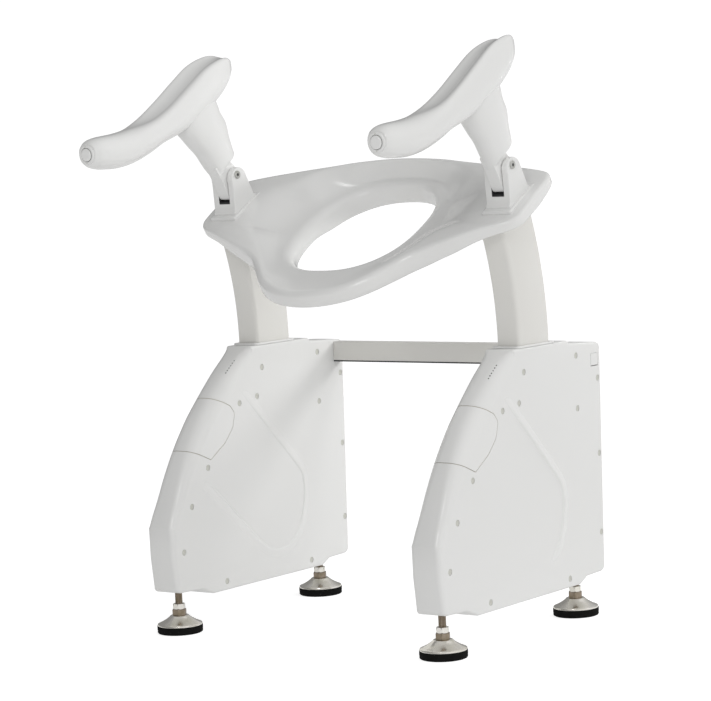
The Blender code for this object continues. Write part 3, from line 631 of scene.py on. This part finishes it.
def seat():
    """Moulded seat, one skin swept from the hole's wall over the rim, wings and lip to the underside."""
    half = [(x, v, t, u) for (x, v), t, u in zip(SEAT_PLAN, SEAT_TOP, SEAT_UNDER)]
    full = half + [(-x, v, t, u) for x, v, t, u in reversed(half[1:-1])]
    rings = []
    for x, v, top, under in spline(full, 5, closed=True):
        angle = math.atan2(v / HOLE_HALF[1], x / HOLE_HALF[0])
        edge = Vector((x, v))
        out = edge.normalized()
        deep = -0.026 - 0.010 * max(0.0, v / 0.147)
        wing = smooth(0.10, 0.24, abs(x))
        reach = 0.95 - 0.38 * wing
        roll = 0.0100 - 0.0045 * max(wing, smooth(-0.02, 0.05, v))
        flare = 0.009 + 0.012 * abs(math.cos(angle)) ** 1.5
        rim, skirt = hole_point(angle, flare + 0.003), hole_point(angle, 0.009)
        places = [(hole_point(angle, 0.0015), deep), (hole_point(angle, 0.0002), deep + 0.002)]
        drop = 0.009 + (flare - 0.009) * 0.5
        places += [(hole_point(angle), deep * (1 - k / 3) - (drop + 0.001) * k / 3) for k in (1, 2, 3)]
        for turn in (15, 30, 45, 60, 75, 90):
            a = math.radians(turn)
            places.append((hole_point(angle, flare * (1 - math.cos(a))), drop * (math.sin(a) - 1)))
        inner_edge = edge - out * roll
        for k in range(1, 13):
            share = k / 12
            places.append((rim.lerp(inner_edge, share), top * smooth(-0.02, reach, share)))
        for turn in (25, 50, 75, 90):
            a = math.radians(turn)
            places.append((inner_edge + out * roll * math.sin(a), top - roll * 0.8 * (1 - math.cos(a))))
        hem = under - 0.0055 * smooth(0.185, 0.235, abs(x)) * (1 - smooth(0.030, 0.100, v))
        low = hem + 0.003
        places += [(edge, (top - roll * 0.8 + low) / 2), (edge - out * 0.0002, low),
                   (edge - out * 0.0012, hem + 0.0008), (edge - out * 0.0030, hem),
                   (edge - out * 0.0050, hem), (edge - out * 0.0060, (hem + under) / 2),
                   (edge - out * 0.0066, under), (skirt.lerp(edge, 0.70), under),
                   (skirt.lerp(edge, 0.34), under), (skirt.lerp(edge, 0.20), under + (deep - under) * 0.35),
                   (skirt.lerp(edge, 0.06), under + (deep - under) * 0.92), (skirt, deep)]
        rings.append([seat_point(place_[0], place_[1], up) for place_, up in places])
    columns = list(zip(*rings))
    shell = build("seat", *loft([list(c) for c in columns], closed=True), GLOSS, 70)
    settle(shell, "lift", ["seat_shell"])


def bolt_shape(turn, radius):
    """Round head, with a hexagon where the radius is that of the socket."""
    if radius > 0.0027:
        return radius
    return 0.0023 / math.cos((turn + math.pi / 6) % (math.pi / 3) - math.pi / 6)


def brackets():
    """Clevis brackets on the wings, with the pivot bolt's socket head on the right-hand face."""
    for side, sign in SIDES:
        centre = sign * BRACKET_X
        top = [(0.0362 + 0.0185 * math.cos(math.radians(a)), 0.0685 + 0.0185 * math.sin(math.radians(a)))
               for a in range(6, 175, 8)]
        outline = [(0.0590, WING_TOP - 0.0015), (0.0590, WING_TOP + 0.0030), (0.0556, WING_TOP + 0.0060)]
        outline += top + [(0.0012, WING_TOP + 0.0080), (-0.0035, WING_TOP + 0.0035),
                          (-0.0035, WING_TOP - 0.0015)]
        body = build("clevis_" + side, *loft([[seat_point(x, v, w) for v, w in outline] for x in
                                              (centre - BRACKET_HALF, centre + BRACKET_HALF)]), WHITE, 30)
        slot = rounded([(-0.03, 0.0405, 0), (0.09, 0.0405, 0), (0.09, 0.13, 0), (-0.03, 0.13, 0)])
        tool = build("slot_tool", *loft([[seat_point(x, v, w) for v, w in slot] for x in
                                         (centre - SLOT_HALF, centre + SLOT_HALF)]), WHITE)
        carve(body, "DIFFERENCE", tool, angle=30.0)
        settle(body, "lift", ["bracket_" + side], bevel=0.0016)
        plan = [(0.068, 0.026), (-0.013, 0.026), (-0.013, -0.026), (0.068, -0.026)]
        boss = build("bracket_boss_" + side, *loft([
            [seat_point(centre + x, v, w) for v, x in plan]
            for w in (WING_TOP - 0.006, WING_TOP + 0.0012)]), GLOSS, 30)
        settle(boss, "lift", bevel=0.0030)
        # Dark sheet along the slot's floor and side walls: painted shade inside the clevis slot.
        half = [(0.0107, 0.0400), (0.0107, 0.0590), (0.0105, 0.0590), (0.0105, 0.0424), (0.0088, 0.0412)]
        channel = half + [(-x, w) for x, w in reversed(half)]
        shade_sheet = build("slot_lining_" + side, *loft([
            [seat_point(centre + x, 0.0054 + (w - 0.0400) * 0.46, w) for x, w in channel],
            [seat_point(centre + x, 0.0535, w) for x, w in channel]]), DARK, 30)
        settle(shade_sheet, "lift")
        pin = seat_point(centre, PIN_V, PIN_W)
        bolt = lathe([(0.0050, -BRACKET_HALF), (0.0050, BRACKET_HALF + 0.0002),
                      (0.0061, BRACKET_HALF + 0.0002), (0.0062, BRACKET_HALF + 0.0005),
                      (0.0062, BRACKET_HALF + 0.0017), (0.0058, BRACKET_HALF + 0.0022),
                      (0.0029, BRACKET_HALF + 0.0022), (0.0026, BRACKET_HALF + 0.0020),
                      (0.0026, BRACKET_HALF + 0.0006)], pin, (1, 0, 0), 36, shape=bolt_shape)
        settle(build("bolt_" + side, *bolt, BOLT), "lift", ["pivot_bolt_" + side])
        # Dark disc at the floor of the hex socket: painted shade in the recess.
        hollow = lathe([(0.0025, BRACKET_HALF + 0.0006), (0.0025, BRACKET_HALF + 0.0009)], pin, (1, 0, 0), 24)
        settle(build("bolt_socket_" + side, *hollow, DARK), "lift")


# ---- armrests ---------------------------------------------------------------------------------------
# stem sections from the armrest to the bracket: front side (y, z), rear side (y, z), half width
STEM_SECTIONS = [(-0.0560, 0.7810, 0.0200, 0.8360, 0.0225), (-0.0490, 0.7690, 0.0300, 0.8185, 0.0225),
                 (-0.0395, 0.7600, 0.0360, 0.8040, 0.0220),
                 (-0.0270, 0.7480, 0.0475, 0.7880, 0.0208), (-0.0130, 0.7365, 0.0522, 0.7670, 0.0197),
                 (0.0000, 0.7210, 0.0583, 0.7480, 0.0190), (0.0082, 0.7110, 0.0605, 0.7362, 0.0180),
                 (0.0128, 0.7055, 0.0460, 0.7262, 0.0152), (0.0160, 0.7015, 0.0372, 0.7168, 0.0120),
                 (0.0182, 0.6990, 0.0310, 0.7090, 0.0101)]
# armrest sections from the tip to the rear: under side (y, z), upper side (y, z), half width
ARM_SECTIONS = [(-0.2655, 0.7310, -0.2675, 0.7635, 0.0170), (-0.2580, 0.7265, -0.2600, 0.7685, 0.0215),
                (-0.2480, 0.7242, -0.2490, 0.7715, 0.0243), (-0.2350, 0.7232, -0.2350, 0.7735, 0.0258),
                (-0.2050, 0.7240, -0.2070, 0.7765, 0.0268), (-0.1720, 0.7305, -0.1790, 0.7815, 0.0270),
                (-0.1380, 0.7425, -0.1500, 0.7895, 0.0268), (-0.1050, 0.7570, -0.1210, 0.8010, 0.0262),
                (-0.0650, 0.7700, -0.0850, 0.8220, 0.0258), (-0.0230, 0.7890, -0.0410, 0.8520, 0.0258),
                (0.0150, 0.8095, -0.0040, 0.8760, 0.0250), (0.0430, 0.8300, 0.0300, 0.8890, 0.0225),
                (0.0600, 0.8470, 0.0530, 0.8920, 0.0185), (0.0690, 0.8600, 0.0660, 0.8880, 0.0130)]
KNUCKLE_RADIUS = 0.0165
# (scale, move) of the rings that close each end
TIP_CLOSING = ((0.60, -0.0008), (0.90, -0.0008), (0.97, -0.0004))
REAR_CLOSING = ((0.86, 0.0012), (0.62, 0.0019), (0.30, 0.0022))
STEM_CLOSING = ((0.985, 0.5), (0.95, 0.9), (0.85, 1.1))


def section(across, row, power, count, dish=0.0, upper=None, lean=0.0):
    """Superelliptic ring; upper sharpens its top half, dish hollows it and lean lifts one crest."""
    y0, z0, y1, z1, half = row
    middle, reach = Vector(((y0 + y1) / 2, (z0 + z1) / 2)), Vector(((y1 - y0) / 2, (z1 - z0) / 2))
    ring = []
    for k in range(count):
        turn = 2 * math.pi * (k + 0.5) / count
        c, s = math.cos(turn), math.sin(turn)
        shape = upper if upper and c > 0 else power
        along = math.copysign(abs(c) ** (2 / shape), c)
        wide = math.copysign(abs(s) ** (2 / shape), s)
        if along > 0:
            along += lean * wide * along - dish * (1 - smooth(0.0, 0.95, abs(wide)))
        spot = middle + reach * along
        ring.append((across + half * wide, spot.x, spot.y))
    return ring


def shrunk(ring, scale, move):
    """A ring scaled about its centre and moved."""
    centre = sum((Vector(p) for p in ring), Vector()) / len(ring)
    return [tuple(centre + (Vector(p) - centre) * scale + Vector(move)) for p in ring]


def armrests():
    """Armrest, its stem and the knuckle that turns in the bracket's slot."""
    for side, sign in SIDES:
        rest_x, pivot_x = sign * REST_X, sign * BRACKET_X
        body = "armrest_" + side
        rows = spline(ARM_SECTIONS, 5)
        rings = []
        for i, row in enumerate(rows):
            share = i / (len(rows) - 1)
            paddle = smooth(0.36, 0.62, share)
            dish = 0.20 * paddle * (1 - smooth(0.93, 1.0, share))
            rings.append(section(rest_x, row, 2.3, 72, dish, 2.3 + 3.2 * paddle, 0.14 * sign * paddle))
        rings = [[(x, y - 0.00014, z + 0.00027) for x, y, z in ring] for ring in rings]
        front = [shrunk(rings[0], s, (0, d, 0)) for s, d in TIP_CLOSING]
        rear = [shrunk(rings[-1], s, (0, d, 0)) for s, d in REAR_CLOSING]
        rest = build("armrest_body_" + side, *loft(front + rings + rear), GLOSS, 50)
        settle(rest, body, ["armrest_" + side])
        rows = spline(STEM_SECTIONS, 5)
        rings = []
        for i, row in enumerate(rows):
            share = 1 - i / (len(rows) - 1)
            rings.append(section(pivot_x + (rest_x - pivot_x) * share, row, 2.6, 44))
        foot = [shrunk(rings[-1], s, (0, 0.0010 * d, -0.0018 * d)) for s, d in STEM_CLOSING]
        stem = build("stem_" + side, *loft(rings + foot), WHITE, 50)
        settle(stem, body, ["armrest_stem_" + side])
        knuckle = [(PIN_V + KNUCKLE_RADIUS * math.cos(math.radians(a)),
                    PIN_W + KNUCKLE_RADIUS * math.sin(math.radians(a))) for a in range(-60, 31, 9)]
        knuckle += [(0.0400, 0.1060), (0.0062, 0.1050)]
        knuckle += spline([(0.0080, 0.0900), (0.0093, 0.0770), (0.0097, 0.0640), (0.0098, 0.0530),
                           (0.0116, 0.0455), (0.0165, 0.0433), (0.0300, 0.0433), (0.0390, 0.0530)], 4)
        half = SLOT_HALF - 0.0004
        lug = build("stem_knuckle_" + side, *loft([[seat_point(x, v, w) for v, w in knuckle]
                                                   for x in (pivot_x - half, pivot_x + half)]), WHITE, 30)
        settle(lug, body, bevel=0.0012)
        control(side, rest_x)


def control(side, across):
    """Bezel with raised up and down marks, and the rocking cap inside it."""
    drop = math.radians(5.0)
    tip = Vector((across, -0.2668, 0.7470))
    ahead = Vector((0, -math.cos(drop), -math.sin(drop)))
    up = Vector((0, -math.sin(drop), math.cos(drop)))
    bezel = lathe([(0.0105, 0.0000), (0.0143, 0.0000), (0.0145, 0.0004), (0.0145, 0.0020),
                   (0.0142, 0.0027), (0.0136, 0.0031), (0.0120, 0.0032), (0.0110, 0.0031),
                   (0.0106, 0.0027), (0.0105, 0.0022)], tip, ahead, 64, closed=True)
    marks = []
    for way in (1, -1):
        middle = tip + ahead * 0.0028 + up * way * 0.0123
        corners = [middle + up * way * 0.0011, middle + Vector((0.0012, 0, 0)) - up * way * 0.0008,
                   middle - Vector((0.0012, 0, 0)) - up * way * 0.0008]
        marks.append(loft([[tuple(p) for p in corners], [tuple(p + ahead * 0.0008) for p in corners]]))
    settle(build("control_bezel_" + side, *bezel, WHITE), "armrest_" + side, ["control_ring_" + side])
    settle(build("control_marks_" + side, *merged(*marks), PLUG), "armrest_" + side)
    cap = lathe([(0.0094, 0.0022), (0.0098, 0.0025), (0.0098, 0.0038), (0.0094, 0.0044),
                 (0.0084, 0.0049), (0.0060, 0.0051), (0.0035, 0.0050), (0.0010, 0.0049)], tip, ahead, 48)
    settle(build("control_button_" + side, *cap, GLOSS, 60), "control_" + side, ["control_cap_" + side])


# ---- feet and crossbar ----------------------------------------------------------------------------
def hexagonal(limit):
    """Ring shape of a hexagon whose corners are cut back to each ring's radius."""
    def bend(turn, radius):
        flat = limit * math.cos(math.pi / 6) / math.cos(turn % (math.pi / 3) - math.pi / 6)
        return min(flat, radius)
    return bend


def scalloped(turn, radius):
    """Ring shape of the rubber pad's wall, with 16 shallow flutes below its rim."""
    if not 0.0340 < radius < 0.03545:
        return radius
    return radius - 0.0005 * max(0.0, math.sin(16 * turn))


def thread(centre, y, low, high, radius, pitch=0.00175, depth=0.0007, sides=32):
    """Helical thread on the visible length of a stud."""
    rows = int((high - low) / pitch * 6)
    rings = []
    for i in range(rows + 1):
        z = low + (high - low) * i / rows
        ring = []
        for k in range(sides):
            turn = 2 * math.pi * k / sides
            phase = ((z / pitch) - k / sides) % 1.0
            r = radius - depth * (1 - abs(2 * phase - 1))
            ring.append((centre + r * math.cos(turn), y + r * math.sin(turn), z))
        rings.append(ring)
    return loft(rings)


def levelling_feet():
    """Rubber pad, domed base, threaded stud with a hexagon and lock nut of each foot."""
    for side, sign in SIDES:
        for end, y in FEET.items():
            name, centre = f"{end}_{side}", sign * TOWER_X
            at = (centre, y, 0)
            scallop = [(0.0335, 0.0), (0.0348, 0.0006), (0.0354, 0.0022), (0.0351, 0.0040), (0.0355, 0.0056),
                       (0.0355, 0.0116), (0.0353, 0.0121), (0.0340, 0.0121)]
            pad = lathe(scallop, at, (0, 0, 1), 96, shape=scalloped)
            settle(build("pad_" + name, *pad, RUBBER, 60), "foot_" + name, ["foot_pad_" + name])
            base = [(0.0330, 0.0092), (0.0343, 0.0092), (0.0349, 0.0099), (0.0350, 0.0132), (0.0346, 0.0143),
                    (0.0336, 0.0150), (0.0300, 0.0164), (0.0250, 0.0189), (0.0200, 0.0220), (0.0160, 0.0250),
                    (0.0148, 0.0264), (0.0138, 0.0270), (0.0070, 0.0270), (0.0066, 0.0266), (0.0066, 0.0180)]
            settle(build("dome_" + name, *lathe(base, at, (0, 0, 1), 96), NICKEL), "foot_" + name,
                   ["foot_base_" + name])
            hexagon = [(0.0062, 0.0273), (0.0106, 0.0273), (0.0115, 0.0282), (0.0115, 0.0356),
                       (0.0106, 0.0365), (0.0062, 0.0365)]
            stud = merged(lathe(hexagon, at, (0, 0, 1), 72, shape=hexagonal(0.0115)),
                          lathe([(0.0059, 0.0190), (0.0059, 0.0440)], at, (0, 0, 1), 32),
                          thread(centre, y, 0.0441, 0.0720, 0.0060),
                          lathe([(0.0059, 0.0721), (0.0059, 0.0990), (0.0050, 0.1000)], at, (0, 0, 1), 32))
            settle(build("stud_rod_" + name, *stud, STEEL, 30), "stud_" + name, ["foot_stud_" + name])
            nut = [(0.0063, 0.0368), (0.0092, 0.0368), (0.0101, 0.0376), (0.0101, 0.0442), (0.0092, 0.0450),
                   (0.0068, 0.0450), (0.0063, 0.0445)]
            settle(build("lock_nut_" + name, *lathe(nut, at, (0, 0, 1), 72, closed=True,
                                                    shape=hexagonal(0.0101)), NICKEL, 30),
                   "stud_" + name, ["foot_nut_" + name])


def crossbar():
    """Folded channel between the towers, open below, with a dark lower lip."""
    low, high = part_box("crossbar")
    wall = 0.003
    outline = rounded([(low.y, low.z, 0), (low.y, high.z, 0.0025), (high.y, high.z, 0.0025),
                       (high.y, low.z, 0), (high.y - wall, low.z, 0), (high.y - wall, high.z - wall, 0.001),
                       (low.y + wall, high.z - wall, 0.001), (low.y + wall, low.z, 0)])
    bar = build("cross_channel", *prism(outline, low.x, high.x), ENAMEL, 30)
    settle(bar, "base", ["crossbar"])
    lip = [(low.y - 0.0004, low.z - 0.0002), (low.y - 0.0004, low.z + 0.0020),
           (low.y + wall, low.z + 0.0020), (low.y + wall, low.z - 0.0002)]
    strip = build("cross_channel_edge", *prism(lip, low.x, high.x), DARK, 30)
    settle(strip, "base")


def port():
    """Charge-port flap and the dark socket behind it."""
    low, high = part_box("charge_port_flap")
    gap = 0.0007
    flap = build("port_cover", *prism([(low.y + gap, low.z + gap), (high.y, low.z + gap), (high.y, high.z),
                                       (low.y + gap, high.z)], low.x, high.x), WHITE, 30)
    back = grown_box(low, high, 0.0003)
    back = build("port_socket", *prism(back, low.x - 0.0006, low.x - 0.0002), DARK, 30)
    settle(back, "base")
    settle(flap, "port_flap", ["charge_port_flap"], bevel=0.0005)


INNER_PAINT = {"frame": ZINC, "arm_shoe": DARK, "actuator_clevis": ZINC, "actuator_pin": ZINC,
               "actuator_body": ZINC, "actuator_rod": NICKEL, "arm_pin": ZINC, "battery_pack": DARK,
               "controller": DARK}


def inner_parts():
    """The pieces inside the towers and arms keep their CAD shape and get a real finish."""
    for name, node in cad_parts.items():
        paint = INNER_PAINT.get(name.rsplit("_", 1)[0])
        if paint:
            node.data.materials.clear()
            node.data.materials.append(paint)


# ---- stage --------------------------------------------------------------------------------------------
def light(name, location, target, size, power, glint=False):
    """Soft round light aimed at a target; only a light with glint shows in reflections."""
    data = bpy.data.lights.new(name, "AREA")
    data.shape = "DISK"
    data.size = size
    data.energy = power
    made = bpy.data.objects.new(name, data)
    made.location = location
    made.rotation_mode = "QUATERNION"
    made.rotation_quaternion = (Vector(target) - Vector(location)).to_track_quat("-Z", "Y")
    made.visible_camera = False
    made.visible_glossy = glint
    bpy.context.scene.collection.objects.link(made)


def studio():
    """Pale floor, a pale room that is brighter above and on the right, and three soft lights."""
    floor_paint = surface("stage", "pale_floor", (0.5, 0.5, 0.5), 0.7, tint=0.01, patch=2.0, bump=0.02,
                          grain=60.0)
    shader = floor_paint.node_tree.nodes["Principled BSDF"]
    shader.inputs["Emission Color"].default_value = (1, 1, 1, 1)
    nodes, links = floor_paint.node_tree.nodes, floor_paint.node_tree.links
    dim = nodes.new("ShaderNodeMapRange")
    dim.inputs["To Min"].default_value = 0.40
    dim.inputs["To Max"].default_value = 0.78
    links.new(nodes.new("ShaderNodeLightPath").outputs["Is Camera Ray"], dim.inputs["Value"])
    links.new(dim.outputs["Result"], shader.inputs["Emission Strength"])
    floor = build("floor", [(-40, -40, 0), (40, -40, 0), (40, 40, 0), (-40, 40, 0)], [(0, 1, 2, 3)],
                  floor_paint)
    world = bpy.data.worlds.new("studio")
    bpy.context.scene.world = world
    world.use_nodes = True
    nodes, links = world.node_tree.nodes, world.node_tree.links
    room = nodes["Background"]
    room.inputs["Color"].default_value = (1, 1, 1, 1)
    facing = nodes.new("ShaderNodeVectorMath")
    facing.operation = "DOT_PRODUCT"
    facing.inputs[1].default_value = Vector((0.82, 0.10, 0.56)).normalized()
    links.new(nodes.new("ShaderNodeTexCoord").outputs["Generated"], facing.inputs[0])
    glow = nodes.new("ShaderNodeMapRange")
    glow.inputs["From Min"].default_value = -0.25
    glow.inputs["From Max"].default_value = 1.0
    glow.inputs["To Min"].default_value = 0.26
    glow.inputs["To Max"].default_value = 0.88
    links.new(facing.outputs["Value"], glow.inputs["Value"])
    links.new(glow.outputs["Result"], room.inputs["Strength"])
    paper = nodes.new("ShaderNodeBackground")
    paper.inputs["Strength"].default_value = 1.05
    paper.inputs["Color"].default_value = (1, 1, 1, 1)
    pick = nodes.new("ShaderNodeMixShader")
    links.new(nodes.new("ShaderNodeLightPath").outputs["Is Camera Ray"], pick.inputs["Fac"])
    links.new(room.outputs["Background"], pick.inputs[1])
    links.new(paper.outputs["Background"], pick.inputs[2])
    links.new(pick.outputs["Shader"], nodes["World Output"].inputs["Surface"])
    light("key", (1.9, 0.9, 1.6), (0.0, 0.0, 0.4), 0.6, 5)
    light("strip", (1.0, -2.3, 1.7), (0.0, 0.0, 0.5), 0.8, 9, glint=True)
    light("back", (0.35, 0.90, 0.80), (-0.25, 0.05, 0.45), 0.3, 3.4)
    bpy.context.scene.view_settings.view_transform = "Standard"


tower_covers()
battery_hatches()
level_lights()
arm_guides()
lift_arms()
seat()
brackets()
armrests()
levelling_feet()
crossbar()
port()
inner_parts()
studio()
